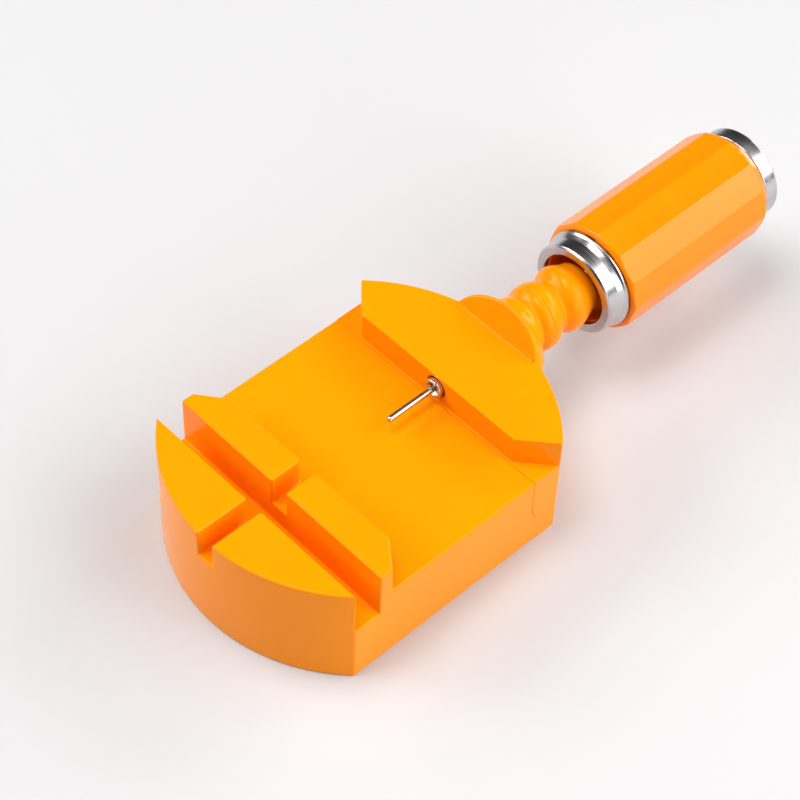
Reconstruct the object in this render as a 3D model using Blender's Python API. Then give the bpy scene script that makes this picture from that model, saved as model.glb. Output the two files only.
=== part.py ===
"""Bracelet link-pin remover: a slotted bench base, a screwed-on spindle head with a beaded neck,
and a hollow twelve-sided handle whose screw spindle feeds a push pin across the channel.

Frame, in metres: origin at the centre of the base disc on the table plane, +X along the spindle
towards the handle, +Z up. The spindle axis lies at y = 0, z = AXIS_HEIGHT.
"""

import math

import bmesh
import bpy

MM = 0.001
GAP = 0.3 * MM  # gap between two pieces that touch on the real object
OVERSHOOT = 2.0 * MM  # how far a cutter runs past the face it opens

# Base disc, cut by two flats along the spindle.
BASE_RADIUS = 36.0 * MM
BASE_HALF_WIDTH = 26.15 * MM
BASE_HEIGHT = 24.0 * MM
FLAT_END_X = math.sqrt(BASE_RADIUS**2 - BASE_HALF_WIDTH**2)

# Channel that takes the bracelet, and the two slots of the left block.
CHANNEL_LEFT = -12.1 * MM
CHANNEL_RIGHT = 18.8 * MM
CHANNEL_FLOOR = 17.8 * MM
LONG_SLOT_RIGHT = -19.1 * MM
LONG_SLOT_FLOOR = 13.5 * MM
CROSS_SLOT_HALF = 1.85 * MM
CROSS_SLOT_MOUTH = 0.9 * MM
TOWER_CHAMFER_X = 4.3 * MM
TOWER_CHAMFER_Y = 5.5 * MM
HEAD_CHAMFER_X = 5.7 * MM
HEAD_CHAMFER_Y = 6.3 * MM

# Seam between the base and the spindle head: upright, then a hooked toe.
SEAM_X = 18.3 * MM
SEAM_KNEE_Z = 9.7 * MM
SEAM_TOE_X = 19.65 * MM
SEAM_TOE_Z = 6.6 * MM

# Lap of the base under the head, and the two screws that hold it.
LAP_END_X = 28.5 * MM
LAP_HALF = 16.0 * MM
LAP_HEIGHT = 5.0 * MM
LAP_ROOT_X = 12.0 * MM
SCREW_X = 24.0 * MM
SCREW_Y = 10.0 * MM
SCREW_SHANK = 1.5 * MM
SCREW_HEAD = 2.8 * MM
SCREW_HEAD_LOW = 0.4 * MM
SCREW_HEAD_EDGE = 0.5 * MM
SCREW_HEAD_HIGH = 2.1 * MM
SCREW_TIP_Z = 13.0 * MM
SCREW_POINT = 1.5 * MM
SCREW_POINT_RADIUS = 0.45 * MM
RECESS_WIDTH = 0.8 * MM
RECESS_LENGTH = 3.0 * MM
RECESS_DEPTH = 1.1 * MM

# Pockets that core the underside.
POCKET_PITCH = 12.2 * MM
POCKET_RIB = 1.9 * MM
POCKET_DEPTH = 7.0 * MM
POCKET_WALL = 3.0 * MM
POCKET_LAST_X = 11.0 * MM
POCKETS_BEHIND = 2
POCKETS_AHEAD = 1

# Spindle axis, thread and travel.
AXIS_HEIGHT = 21.0 * MM
THREAD_PITCH = 0.7 * MM
THREAD_CREST = 2.0 * MM
THREAD_ROOT = 1.57 * MM
THREAD_CORE = 1.4 * MM
THREAD_FIT = 0.2 * MM
THREAD_SECTION = ((0.0, THREAD_ROOT), (0.4, THREAD_CREST), (0.6, THREAD_CREST))
THREAD_START = 35.5 * MM
THREAD_END = 70.5 * MM
SPINDLE_END = 84.0 * MM
SPINDLE_ROD = 1.95 * MM
SPIGOT = 1.3 * MM
SPIGOT_START = 20.6 * MM
SPIGOT_END = 23.8 * MM

# Bores of the head.
SPINDLE_BORE = 2.25 * MM
BUSH_RADIUS = 3.2 * MM
BUSH_WAIST = 0.4 * MM
BUSH_START = 47.7 * MM
BUSH_END = 55.7 * MM
NECK_END = 56.0 * MM

# Pin holder and push pin.
HOLDER_FRONT = 17.9 * MM
HOLDER_BACK = 23.5 * MM
HOLDER_RADIUS = 2.05 * MM
HOLDER_BORE = 1.65 * MM
HOLDER_CUP = 1.5 * MM
HOLDER_CUP_DEPTH = 1.0 * MM
HOLDER_LIP = 1.3 * MM
PIN_HOLE = 0.9 * MM
PIN_TIP = 7.0 * MM
PIN_RADIUS = 0.62 * MM
PIN_HEAD_START = 19.5 * MM
PIN_HEAD_END = 20.3 * MM
PIN_HEAD_RADIUS = 1.35 * MM
PIN_TIP_LENGTH = 0.5 * MM
PIN_TIP_RADIUS = 0.45 * MM

# Handle: grip, steel ferrule, steel cap.
GRIP_SIDES = 12
GRIP_CORNER = 11.5 * MM
GRIP_FRONT = 59.3 * MM
GRIP_BACK = 98.4 * MM
GRIP_FRONT_RIM = 10.35 * MM
GRIP_FRONT_TAPER = 2.3 * MM
GRIP_BACK_RIM = 9.75 * MM
GRIP_BACK_TAPER = 1.8 * MM
GRIP_CLEAR = 0.05 * MM
GRIP_SPIGOT = 8.4 * MM
GRIP_SPIGOT_START = 55.7 * MM
CAVITY_RADIUS = 7.5 * MM
WEB_FRONT = 74.5 * MM
WEB_BACK = 78.5 * MM
STORE_RADIUS = 7.4 * MM
STUD_HOLE = 2.3 * MM

FERRULE_FRONT = 54.4 * MM
FERRULE_MOUTH = 7.55 * MM
FERRULE_EDGE = 0.4 * MM
FERRULE_BAND = 9.55 * MM
FERRULE_BAND_END = 57.7 * MM
FERRULE_LIP = 10.3 * MM
FERRULE_LIP_START = 58.6 * MM
FERRULE_BACK = 59.0 * MM
FERRULE_FACE = 1.0 * MM

CAP_FRONT = 98.7 * MM
CAP_BACK = 102.4 * MM
CAP_RADIUS = 9.4 * MM
CAP_EDGE = 0.5 * MM
CAP_SPIGOT = 7.1 * MM
CAP_SPIGOT_START = 93.7 * MM
CAP_BORE = 5.6 * MM
CAP_FLOOR = 101.2 * MM

# Nuts and washer that clamp the spindle to the web of the grip.
NUT_CORNER = 4.04 * MM
NUT_BEVEL = 0.3 * MM
FRONT_NUT = (71.0 * MM, 74.2 * MM)
LOCK_WASHER = (78.8 * MM, 79.6 * MM)
LOCK_NUT = (79.9 * MM, 83.1 * MM)
WASHER_RADIUS = 4.5 * MM

# Spare pins lying in the handle.
SPARE_PINS = 3
SPARE_PIN_BACK = 99.3 * MM
SPARE_PIN_OFFSET = 3.95 * MM
SPARE_PIN_SPREAD = math.radians(42)

ROUND_STEPS = 48
SMALL_STEPS = 24
THREAD_STEPS = 12
SMOOTH_ANGLE = math.radians(35)

# Neck stations: distance along X, half width, half height above the axis, half height below it.
NECK_STATIONS = (
    (34.2, 10.40, 7.40, 12.90),
    (34.8, 10.80, 7.75, 15.00),
    (36.1, 10.30, 7.55, 14.40),
    (37.2, 9.45, 7.10, 12.80),
    (38.2, 8.25, 6.58, 10.60),
    (39.1, 7.05, 6.30, 8.20),
    (39.9, 6.50, 6.20, 6.70),
    (40.8, 6.05, 6.00, 6.10),
    (41.6, 5.58, 5.54, 5.58),
    (42.4, 6.00, 6.00, 6.00),
    (43.2, 6.42, 6.42, 6.42),
    (44.6, 6.50, 6.50, 6.50),
    (45.7, 6.35, 6.35, 6.35),
    (46.7, 5.90, 5.90, 5.90),
    (47.5, 5.35, 5.35, 5.35),
    (48.1, 5.08, 5.08, 5.08),
    (48.8, 5.42, 5.42, 5.42),
    (49.7, 6.10, 6.10, 6.10),
    (50.8, 6.52, 6.52, 6.52),
    (51.9, 6.46, 6.46, 6.46),
    (53.1, 6.00, 6.00, 6.00),
    (54.4, 5.50, 5.50, 5.50),
    (55.4, 5.24, 5.24, 5.24),
    (56.0, 4.90, 4.90, 4.90),
)


def clear_scene():
    for item in list(bpy.data.objects):
        bpy.data.objects.remove(item, do_unlink=True)


def make_material(name, colour, roughness, metallic=0.0):
    made = bpy.data.materials.new(name)
    made.use_nodes = True
    made.diffuse_color = (*colour, 1.0)
    shader = made.node_tree.nodes["Principled BSDF"]
    shader.inputs["Base Color"].default_value = (*colour, 1.0)
    shader.inputs["Roughness"].default_value = roughness
    shader.inputs["Metallic"].default_value = metallic
    return made


def new_object(name, mesh_data, material=None):
    """Link the mesh as an object. One without a material is a tool for Booleans and is not rendered."""
    bmesh.ops.recalc_face_normals(mesh_data, faces=mesh_data.faces)
    mesh = bpy.data.meshes.new(name)
    mesh_data.to_mesh(mesh)
    mesh_data.free()
    made = bpy.data.objects.new(name, mesh)
    bpy.context.scene.collection.objects.link(made)
    if material is None:
        made.hide_render = True
        made.display_type = "WIRE"
    else:
        mesh.materials.append(material)
        mesh.shade_smooth()
        mesh.set_sharp_from_angle(angle=SMOOTH_ANGLE)
    return made


def boolean(body, operation, *tools):
    for tool in tools:
        modifier = body.modifiers.new(tool.name, "BOOLEAN")
        modifier.operation = operation
        modifier.object = tool
        modifier.solver = "EXACT"


def on_axis(x, across, up):
    """A point given by its distance along the spindle axis and its offsets from that axis."""
    return (x, across, AXIS_HEIGHT + up)


def skin(mesh_data, loops, ring=False):
    """Join equal loops of points by quads. ring joins last to first, or else both ends are capped."""
    rows = [[mesh_data.verts.new(point) for point in loop] for loop in loops]
    pairs = list(zip(rows, rows[1:]))
    if ring:
        pairs.append((rows[-1], rows[0]))
    for first, second in pairs:
        for i in range(len(first)):
            j = (i + 1) % len(first)
            mesh_data.faces.new((first[i], first[j], second[j], second[i]))
    if not ring:
        mesh_data.faces.new(rows[0])
        mesh_data.faces.new(rows[-1])


def circle_at(x, radius, steps):
    """A circle about the axis. Its points start half a step round, clear of the corners of any prism."""
    turns = [2 * math.pi * (i + 0.5) / steps for i in range(steps)]
    return [on_axis(x, radius * math.cos(turn), radius * math.sin(turn)) for turn in turns]


def turned(name, profile, material=None, steps=ROUND_STEPS):
    """A solid turned about the spindle axis from a profile of (x, radius), capped flat at both ends."""
    mesh_data = bmesh.new()
    skin(mesh_data, [circle_at(x, radius, steps) for x, radius in profile])
    return new_object(name, mesh_data, material)


def turned_ring(name, profile, material=None, steps=ROUND_STEPS):
    """A ring turned about the spindle axis from a closed profile of (x, radius)."""
    mesh_data = bmesh.new()
    loops = [circle_at(x, radius, steps) for x, radius in profile]
    skin(mesh_data, loops, ring=True)
    return new_object(name, mesh_data, material)


def prism_z(name, outline, low, high, material=None):
    mesh_data = bmesh.new()
    skin(mesh_data, [[(x, y, z) for x, y in outline] for z in (low, high)])
    return new_object(name, mesh_data, material)


def prism_y(name, outline, low, high):
    mesh_data = bmesh.new()
    skin(mesh_data, [[(x, y, z) for x, z in outline] for y in (low, high)])
    return new_object(name, mesh_data)


def prism_x(name, sides, radius, low, high, material=None):
    """A regular prism along the spindle axis with a corner straight up."""
    turns = [math.pi / 2 + 2 * math.pi * i / sides for i in range(sides)]
    mesh_data = bmesh.new()
    section = [(radius * math.cos(turn), radius * math.sin(turn)) for turn in turns]
    skin(mesh_data, [[on_axis(x, across, up) for across, up in section] for x in (low, high)])
    return new_object(name, mesh_data, material)


def block(name, low, high):
    outline = ((low[0], low[1]), (high[0], low[1]), (high[0], high[1]), (low[0], high[1]))
    return prism_z(name, outline, low[2], high[2])


def upright_cylinder(name, x, y, radius, low, high, material=None):
    turns = [2 * math.pi * i / SMALL_STEPS for i in range(SMALL_STEPS)]
    outline = [(x + radius * math.cos(turn), y + radius * math.sin(turn)) for turn in turns]
    return prism_z(name, outline, low, high, material)


def disc_outline():
    """The base disc with its two flats, anticlockwise."""
    corner = math.atan2(BASE_HALF_WIDTH, FLAT_END_X)
    steps = ROUND_STEPS // 2
    right = [-corner + 2 * corner * i / steps for i in range(steps + 1)]
    turns = right + [turn + math.pi for turn in right]
    return [(BASE_RADIUS * math.cos(turn), BASE_RADIUS * math.sin(turn)) for turn in turns]


def channel_cutter(name):
    reach = BASE_HALF_WIDTH + OVERSHOOT
    return block(
        name,
        (CHANNEL_LEFT, -reach, CHANNEL_FLOOR),
        (CHANNEL_RIGHT, reach, BASE_HEIGHT + OVERSHOOT),
    )


def seam_outline(shift, outer_x):
    """Side view of everything on one side of the seam, as far as outer_x, moved by half the seam's gap."""
    top = BASE_HEIGHT + OVERSHOOT
    return (
        (outer_x, -OVERSHOOT),
        (SEAM_TOE_X + shift, -OVERSHOOT),
        (SEAM_TOE_X + shift, SEAM_TOE_Z),
        (SEAM_X + shift, SEAM_KNEE_Z),
        (SEAM_X + shift, top),
        (outer_x, top),
    )


def underside_pockets():
    """One tool for all the pockets: rows of cells between ribs, kept inside the outer wall."""
    inset_radius = BASE_RADIUS - POCKET_WALL
    inset_half = BASE_HALF_WIDTH - POCKET_WALL
    tools = []
    reach = (POCKET_PITCH - POCKET_RIB) / 2
    for column in range(-POCKETS_BEHIND, POCKETS_AHEAD):
        for row in range(-POCKETS_BEHIND, POCKETS_BEHIND):
            x = (column + 0.5) * POCKET_PITCH
            y = (row + 0.5) * POCKET_PITCH
            high_x = min(x + reach, POCKET_LAST_X)
            outer_y = min(abs(y) + reach, inset_half)
            inner_y = abs(y) - reach
            outer_x = -math.sqrt(inset_radius**2 - outer_y**2)
            low_x = max(x - reach, outer_x)
            side = math.copysign(1.0, y)
            low_y, high_y = sorted((side * inner_y, side * outer_y))
            name = f"pocket_{column + POCKETS_BEHIND}_{row + POCKETS_BEHIND}"
            tools.append(block(name, (low_x, low_y, -OVERSHOOT), (high_x, high_y, POCKET_DEPTH)))
    return tools


def screw_spots():
    return (("front", -SCREW_Y), ("rear", SCREW_Y))


def build_base_body(plastic):
    """The main moulding: left block with its two slots, channel floor, and the lap under the head."""
    body = prism_z("base_body", disc_outline(), 0.0, BASE_HEIGHT, plastic)
    reach = BASE_HALF_WIDTH + OVERSHOOT
    top = BASE_HEIGHT + OVERSHOOT
    left = -BASE_RADIUS - OVERSHOOT
    keep = prism_y("base_side", seam_outline(-GAP / 2, left), -reach, reach)
    boolean(body, "INTERSECT", keep)
    lap = block(
        "base_lap", (LAP_ROOT_X, -LAP_HALF, 0.0), (LAP_END_X, LAP_HALF, LAP_HEIGHT)
    )
    boolean(body, "UNION", lap)
    long_slot = block(
        "long_slot", (-FLAT_END_X, -reach, LONG_SLOT_FLOOR), (LONG_SLOT_RIGHT, reach, top)
    )
    cross_slot = prism_z("cross_slot", cross_slot_outline(left), CHANNEL_FLOOR, top)
    boolean(body, "DIFFERENCE", channel_cutter("base_channel"), long_slot, cross_slot)
    for side in (-1, 1):
        boolean(body, "DIFFERENCE", tower_chamfer(side))
    boolean(body, "DIFFERENCE", *underside_pockets())
    for place, y in screw_spots():
        counterbore = upright_cylinder(
            f"counterbore_{place}",
            SCREW_X,
            y,
            SCREW_HEAD + GAP,
            -OVERSHOOT,
            SCREW_HEAD_HIGH + GAP,
        )
        hole = upright_cylinder(
            f"lap_hole_{place}", SCREW_X, y, SCREW_SHANK + GAP, 0.0, LAP_HEIGHT + OVERSHOOT
        )
        boolean(body, "DIFFERENCE", counterbore, hole)
    return body


def cross_slot_outline(left):
    """Plan of the cross slot: straight, with its two corners at the channel rounded off."""
    curve = [math.radians(turn) for turn in (0, 22.5, 45, 67.5, 90)]
    start = CHANNEL_LEFT - CROSS_SLOT_MOUTH
    reach = CROSS_SLOT_HALF + CROSS_SLOT_MOUTH
    rear = [
        (start + CROSS_SLOT_MOUTH * math.sin(t), reach - CROSS_SLOT_MOUTH * math.cos(t))
        for t in curve
    ]
    rear += [(CHANNEL_LEFT + OVERSHOOT, reach)]
    front = [(x, -y) for x, y in reversed(rear)]
    return [(left, CROSS_SLOT_HALF), *rear, *front, (left, -CROSS_SLOT_HALF)]


def tower_chamfer(side):
    """Cuts the end corner of an inner tower on the channel side, down to the channel floor."""
    edge = BASE_HALF_WIDTH
    far = OVERSHOOT
    slope = TOWER_CHAMFER_Y / TOWER_CHAMFER_X
    outline = (
        (CHANNEL_LEFT + far, side * (edge - TOWER_CHAMFER_Y - far * slope)),
        (CHANNEL_LEFT - TOWER_CHAMFER_X - far, side * (edge + far * slope)),
        (CHANNEL_LEFT + far, side * (edge + far * slope)),
    )
    return prism_z(f"tower_chamfer_{side + 2}", outline, CHANNEL_FLOOR, BASE_HEIGHT + far)


def head_chamfer(side):
    """Cuts the end corner of the right block on the channel side, down to the channel floor."""
    slope = HEAD_CHAMFER_Y / HEAD_CHAMFER_X
    far = OVERSHOOT
    start = BASE_HALF_WIDTH - HEAD_CHAMFER_Y
    outline = (
        (CHANNEL_RIGHT - far, side * (start - far * slope)),
        (CHANNEL_RIGHT + HEAD_CHAMFER_X + far, side * (BASE_HALF_WIDTH + far * slope)),
        (CHANNEL_RIGHT - far, side * (BASE_HALF_WIDTH + far * slope)),
    )
    return prism_z(f"head_chamfer_{side + 2}", outline, CHANNEL_FLOOR, BASE_HEIGHT + far)


def neck(name):
    mesh_data = bmesh.new()
    turns = [2 * math.pi * i / ROUND_STEPS for i in range(ROUND_STEPS)]
    loops = [
        [
            on_axis(
                x * MM,
                wide * MM * math.cos(t),
                (tall if math.sin(t) > 0 else deep) * MM * math.sin(t),
            )
            for t in turns
        ]
        for x, wide, tall, deep in NECK_STATIONS
    ]
    skin(mesh_data, loops)
    return new_object(name, mesh_data)


def build_spindle_head(plastic):
    """The second moulding: the right block with the beaded neck that carries the thread bush."""
    body = prism_z("spindle_head", disc_outline(), 0.0, BASE_HEIGHT, plastic)
    reach = BASE_HALF_WIDTH + OVERSHOOT
    right = BASE_RADIUS + OVERSHOOT
    keep = prism_y("head_side", seam_outline(GAP / 2, right), -reach, reach)
    boolean(body, "INTERSECT", keep)
    lap_recess = block(
        "lap_recess",
        (SEAM_X - OVERSHOOT, -LAP_HALF - GAP, -OVERSHOOT),
        (LAP_END_X + GAP, LAP_HALF + GAP, LAP_HEIGHT + GAP),
    )
    chamfers = [head_chamfer(side) for side in (-1, 1)]
    boolean(body, "DIFFERENCE", channel_cutter("head_channel"), lap_recess, *chamfers)
    boolean(body, "UNION", neck("neck"))
    shoulder = BUSH_START - GAP
    bore = turned(
        "head_bore",
        (
            (SEAM_X - OVERSHOOT, SPINDLE_BORE),
            (shoulder, SPINDLE_BORE),
            (shoulder, BUSH_RADIUS + GAP),
            (NECK_END + OVERSHOOT, BUSH_RADIUS + GAP),
        ),
        steps=SMALL_STEPS,
    )
    boolean(body, "DIFFERENCE", bore)
    for place, y in screw_spots():
        pilot = upright_cylinder(
            f"pilot_{place}",
            SCREW_X,
            y,
            SCREW_SHANK + GAP,
            LAP_HEIGHT - GAP,
            SCREW_TIP_Z + GAP,
        )
        boolean(body, "DIFFERENCE", pilot)
    return body


def build_joint_screw(place, y, steel):
    """A pan-head self-tapping screw, head down, with a crossed recess."""
    stations = (
        (SCREW_HEAD_LOW, SCREW_HEAD - SCREW_HEAD_EDGE),
        (SCREW_HEAD_LOW + SCREW_HEAD_EDGE, SCREW_HEAD),
        (SCREW_HEAD_HIGH, SCREW_HEAD),
        (SCREW_HEAD_HIGH, SCREW_SHANK),
        (SCREW_TIP_Z - SCREW_POINT, SCREW_SHANK),
        (SCREW_TIP_Z, SCREW_POINT_RADIUS),
    )
    turns = [2 * math.pi * i / SMALL_STEPS for i in range(SMALL_STEPS)]
    mesh_data = bmesh.new()
    loops = [
        [(SCREW_X + r * math.cos(t), y + r * math.sin(t), z) for t in turns] for z, r in stations
    ]
    skin(mesh_data, loops)
    screw = new_object(f"joint_screw_{place}", mesh_data, steel)
    top = SCREW_HEAD_LOW + RECESS_DEPTH
    for way, (half_x, half_y) in enumerate(
        ((RECESS_LENGTH / 2, RECESS_WIDTH / 2), (RECESS_WIDTH / 2, RECESS_LENGTH / 2))
    ):
        arm = block(
            f"recess_{place}_{way}",
            (SCREW_X - half_x, y - half_y, -OVERSHOOT),
            (SCREW_X + half_x, y + half_y, top),
        )
        boolean(screw, "DIFFERENCE", arm)
    return screw


def thread_form(name, low, high, grow):
    """A right-hand threaded bar: a strip of V grooves wound about the axis, one pitch per turn."""
    section = [(share, radius + grow) for share, radius in THREAD_SECTION]
    points_per_turn = len(section)
    turns = math.ceil((high - low) / THREAD_PITCH)
    mesh_data = bmesh.new()
    columns = []
    for i in range(THREAD_STEPS):
        turn = 2 * math.pi * i / THREAD_STEPS
        column = []
        for j in range(turns * points_per_turn + 1):
            share, radius = section[j % points_per_turn]
            x = low + THREAD_PITCH * (j // points_per_turn + share + i / THREAD_STEPS)
            point = on_axis(x, radius * math.cos(turn), radius * math.sin(turn))
            column.append(mesh_data.verts.new(point))
        columns.append(column)
    # The last column meets the first one a whole turn further on.
    first = columns[0]
    last_turn = low + THREAD_PITCH * (turns + 1)
    extra = []
    for j in range(1, points_per_turn + 1):
        share, radius = section[j % points_per_turn]
        x = last_turn + THREAD_PITCH * (j // points_per_turn - 1 + share)
        extra.append(mesh_data.verts.new(on_axis(x, radius, 0.0)))
    columns.append((first + extra)[points_per_turn:])
    for left, right in zip(columns, columns[1:]):
        for j in range(len(left) - 1):
            mesh_data.faces.new((left[j], right[j], right[j + 1], left[j + 1]))
    low_edge = [column[0] for column in columns] + first[points_per_turn - 1 : 0 : -1]
    high_edge = [column[-1] for column in columns] + extra[-2::-1] + [first[-1]]
    for edge, x in ((low_edge, low), (high_edge, last_turn)):
        tip = mesh_data.verts.new(on_axis(x, 0.0, 0.0))
        loop = list(dict.fromkeys(edge))
        for i, point in enumerate(loop):
            mesh_data.faces.new((point, loop[(i + 1) % len(loop)], tip))
    return new_object(name, mesh_data)


def build_thread_bush(brass):
    """The brass bush pressed into the neck, tapped to run on the spindle."""
    middle = (BUSH_START + BUSH_END) / 2
    waist = BUSH_RADIUS - BUSH_WAIST
    bush = turned(
        "thread_bush",
        (
            (BUSH_START, BUSH_RADIUS),
            (middle - BUSH_WAIST, BUSH_RADIUS),
            (middle - BUSH_WAIST, waist),
            (middle + BUSH_WAIST, waist),
            (middle + BUSH_WAIST, BUSH_RADIUS),
            (BUSH_END, BUSH_RADIUS),
        ),
        brass,
        SMALL_STEPS,
    )
    # The tap starts a whole number of pitches along the spindle's thread, so the two are in mesh at rest.
    turns_before = math.floor((BUSH_START - OVERSHOOT - THREAD_START) / THREAD_PITCH)
    low = THREAD_START + turns_before * THREAD_PITCH
    tap = thread_form("bush_tap", low, BUSH_END + OVERSHOOT, THREAD_FIT)
    boolean(bush, "DIFFERENCE", tap)
    return bush


def build_spindle(steel):
    """The screw spindle: spigot for the pin holder, plain nose, thread, and plain shank through the web."""
    run_out = THREAD_PITCH / 2
    spindle = turned(
        "spindle",
        (
            (SPIGOT_START, SPIGOT),
            (SPIGOT_END, SPIGOT),
            (SPIGOT_END, SPINDLE_ROD),
            (THREAD_START, SPINDLE_ROD),
            (THREAD_START + run_out, THREAD_CORE),
            (THREAD_END - run_out, THREAD_CORE),
            (THREAD_END, SPINDLE_ROD),
            (SPINDLE_END - run_out, SPINDLE_ROD),
            (SPINDLE_END, THREAD_CORE),
        ),
        steel,
        SMALL_STEPS,
    )
    low = THREAD_START - THREAD_PITCH
    form = thread_form("spindle_thread", low, THREAD_END, 0.0)
    trim_radius = THREAD_CREST + THREAD_FIT
    trim = turned(
        "thread_trim",
        ((THREAD_START - run_out / 2, trim_radius), (THREAD_END + run_out / 2, trim_radius)),
        steps=SMALL_STEPS,
    )
    boolean(form, "INTERSECT", trim)
    boolean(spindle, "UNION", form)
    return spindle


def build_pin_holder(steel):
    """The small sleeve on the spindle's nose: a cupped front, a pin hole and a chamber for the pin's head."""
    return turned_ring(
        "pin_holder",
        (
            (HOLDER_FRONT, HOLDER_CUP),
            (HOLDER_FRONT, HOLDER_RADIUS),
            (HOLDER_BACK, HOLDER_RADIUS),
            (HOLDER_BACK, HOLDER_BORE),
            (HOLDER_FRONT + HOLDER_LIP, HOLDER_BORE),
            (HOLDER_FRONT + HOLDER_LIP, PIN_HOLE),
            (HOLDER_FRONT + HOLDER_CUP_DEPTH, PIN_HOLE),
        ),
        steel,
        SMALL_STEPS,
    )


def pin_stations(head_end):
    """Stations of a headed pin whose head ends at head_end: tip, shank, head."""
    tip = PIN_TIP + head_end - PIN_HEAD_END
    head_start = PIN_HEAD_START + head_end - PIN_HEAD_END
    return (
        (tip, PIN_TIP_RADIUS),
        (tip + PIN_TIP_LENGTH, PIN_RADIUS),
        (head_start, PIN_RADIUS),
        (head_start, PIN_HEAD_RADIUS),
        (head_end, PIN_HEAD_RADIUS),
    )


def build_push_pin(steel):
    return turned("push_pin", pin_stations(PIN_HEAD_END), steel, SMALL_STEPS // 2)


def build_spare_pin(number, steel):
    """A spare push pin lying along the bottom of the handle's store."""
    turn = -math.pi / 2 + (number - (SPARE_PINS + 1) / 2) * SPARE_PIN_SPREAD
    pin = turned(
        f"spare_pin_{number}", pin_stations(SPARE_PIN_BACK), steel, SMALL_STEPS // 2
    )
    across = SPARE_PIN_OFFSET * math.cos(turn)
    up = SPARE_PIN_OFFSET * math.sin(turn)
    pin.location = (0.0, across, up)
    return pin


def build_grip(plastic):
    """The twelve-sided sleeve: a turned bar whose middle is cut flat, hollow from both ends up to a web."""
    low, high = GRIP_FRONT - OVERSHOOT, GRIP_BACK + OVERSHOOT
    grip = prism_x("grip", GRIP_SIDES, GRIP_CORNER, low, high, plastic)
    over = GRIP_CORNER + GRIP_CLEAR
    envelope = turned(
        "grip_envelope",
        (
            (GRIP_FRONT, GRIP_FRONT_RIM),
            (GRIP_FRONT + GRIP_FRONT_TAPER / 2, (GRIP_FRONT_RIM + 2 * over) / 3),
            (GRIP_FRONT + GRIP_FRONT_TAPER, over),
            (GRIP_BACK - GRIP_BACK_TAPER, over),
            (GRIP_BACK, GRIP_BACK_RIM),
        ),
    )
    boolean(grip, "INTERSECT", envelope)
    spigot = turned(
        "grip_spigot", ((GRIP_SPIGOT_START, GRIP_SPIGOT), (WEB_FRONT, GRIP_SPIGOT))
    )
    boolean(grip, "UNION", spigot)
    hollow = turned(
        "grip_hollow",
        (
            (GRIP_SPIGOT_START - OVERSHOOT, CAVITY_RADIUS),
            (WEB_FRONT, CAVITY_RADIUS),
            (WEB_FRONT, STUD_HOLE),
            (WEB_BACK, STUD_HOLE),
            (WEB_BACK, STORE_RADIUS),
            (GRIP_BACK + OVERSHOOT, STORE_RADIUS),
        ),
        steps=36,
    )
    boolean(grip, "DIFFERENCE", hollow)
    return grip


def build_front_ferrule(steel):
    """The steel ring over the grip's mouth: thin face, bright band, flared lip against the grip."""
    socket = GRIP_SPIGOT + GAP
    face_back = FERRULE_FRONT + FERRULE_FACE
    return turned_ring(
        "front_ferrule",
        (
            (FERRULE_FRONT, FERRULE_MOUTH),
            (FERRULE_FRONT, FERRULE_BAND - FERRULE_EDGE),
            (FERRULE_FRONT + FERRULE_EDGE, FERRULE_BAND),
            (FERRULE_BAND_END, FERRULE_BAND),
            (FERRULE_LIP_START, FERRULE_LIP),
            (FERRULE_BACK, FERRULE_LIP),
            (FERRULE_BACK, socket),
            (face_back, socket),
            (face_back, FERRULE_MOUTH),
        ),
        steel,
    )


def build_end_cap(steel):
    """The steel cap: a closed cup whose spigot plugs the store at the back of the grip."""
    cap = turned(
        "end_cap",
        (
            (CAP_SPIGOT_START, CAP_SPIGOT),
            (CAP_FRONT, CAP_SPIGOT),
            (CAP_FRONT, CAP_RADIUS),
            (CAP_BACK - CAP_EDGE, CAP_RADIUS),
            (CAP_BACK, CAP_RADIUS - CAP_EDGE),
        ),
        steel,
    )
    hollow = turned(
        "cap_hollow", ((CAP_SPIGOT_START - OVERSHOOT, CAP_BORE), (CAP_FLOOR, CAP_BORE)), steps=36
    )
    boolean(cap, "DIFFERENCE", hollow)
    return cap


def build_nut(name, span, steel):
    nut = prism_x(name, 6, NUT_CORNER, span[0], span[1], steel)
    shaped = turned(
        f"{name}_bevel",
        (
            (span[0], NUT_CORNER - NUT_BEVEL),
            (span[0] + NUT_BEVEL / 2, NUT_CORNER + NUT_BEVEL / 2),
            (span[1] - NUT_BEVEL / 2, NUT_CORNER + NUT_BEVEL / 2),
            (span[1], NUT_CORNER - NUT_BEVEL),
        ),
        steps=36,
    )
    hole = turned(
        f"{name}_hole",
        ((span[0] - OVERSHOOT, STUD_HOLE), (span[1] + OVERSHOOT, STUD_HOLE)),
        steps=SMALL_STEPS,
    )
    boolean(nut, "INTERSECT", shaped)
    boolean(nut, "DIFFERENCE", hole)
    return nut


def build_lock_washer(steel):
    front, back = LOCK_WASHER
    return turned_ring(
        "lock_washer",
        ((front, STUD_HOLE), (front, WASHER_RADIUS), (back, WASHER_RADIUS), (back, STUD_HOLE)),
        steel,
        SMALL_STEPS,
    )


def joint_empty(name, x):
    made = bpy.data.objects.new(name, None)
    made.location = on_axis(x, 0.0, 0.0)
    made.empty_display_size = 5 * MM
    bpy.context.scene.collection.objects.link(made)
    return made


def hang(parent, *children):
    """Parent the pieces to a joint's empty without moving them."""
    offset = parent.location.copy()
    for child in children:
        child.parent = parent
        child.location = child.location - offset


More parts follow.
